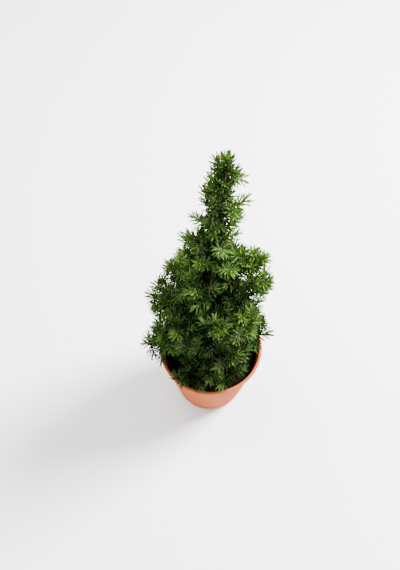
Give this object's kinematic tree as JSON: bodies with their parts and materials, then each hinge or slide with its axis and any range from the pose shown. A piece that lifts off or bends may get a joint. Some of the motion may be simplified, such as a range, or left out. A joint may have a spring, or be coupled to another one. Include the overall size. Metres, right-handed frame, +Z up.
{
  "type": "potted dwarf conifer",
  "caption": "Young cone-shaped dwarf conifer with dense short-needled shoots, growing in a round terracotta-coloured plastic nursery pot.",
  "frame": {"origin": "centre of the pot's flat underside", "axes": "+Z up along the pot's axis, -Y towards the side that faces the camera in the picture, +X to that camera's right"},
  "size_m": [0.1285, 0.1141, 0.3738],
  "materials": {
    "pot": "satin",
    "soil": "matte",
    "bark": "matte",
    "needles": "matte"
  },
  "bodies": {
    "root": {"bough_01": "bark", "bough_02": "bark", "bough_03": "bark", "bough_04": "bark", "bough_05": "bark", "bough_06": "bark", "bough_07": "bark", "bough_08": "bark", "bough_09": "bark", "bough_10": "bark", "bough_11": "bark", "bough_12": "bark", "bough_13": "bark", "bough_14": "bark", "bough_15": "bark", "bough_16": "bark", "bough_17": "bark", "bough_18": "bark", "foliage_01": "needles", "foliage_02": "needles", "foliage_03": "needles", "foliage_04": "needles", "foliage_05": "needles", "foliage_06": "needles", "foliage_07": "needles", "foliage_08": "needles", "foliage_09": "needles", "foliage_10": "needles", "foliage_11": "needles", "foliage_12": "needles", "foliage_13": "needles", "foliage_14": "needles", "foliage_15": "needles", "foliage_16": "needles", "foliage_17": "needles", "foliage_18": "needles", "foliage_19": "needles", "foliage_20": "needles", "foliage_21": "needles", "foliage_22": "needles", "foliage_23": "needles", "foliage_24": "needles", "foliage_25": "needles", "foliage_26": "needles", "foliage_27": "needles", "foliage_28": "needles", "foliage_29": "needles", "foliage_30": "needles", "foliage_leader": "needles", "pot": "pot", "soil": "soil", "trunk": "bark"}
  },
  "joints": []
}
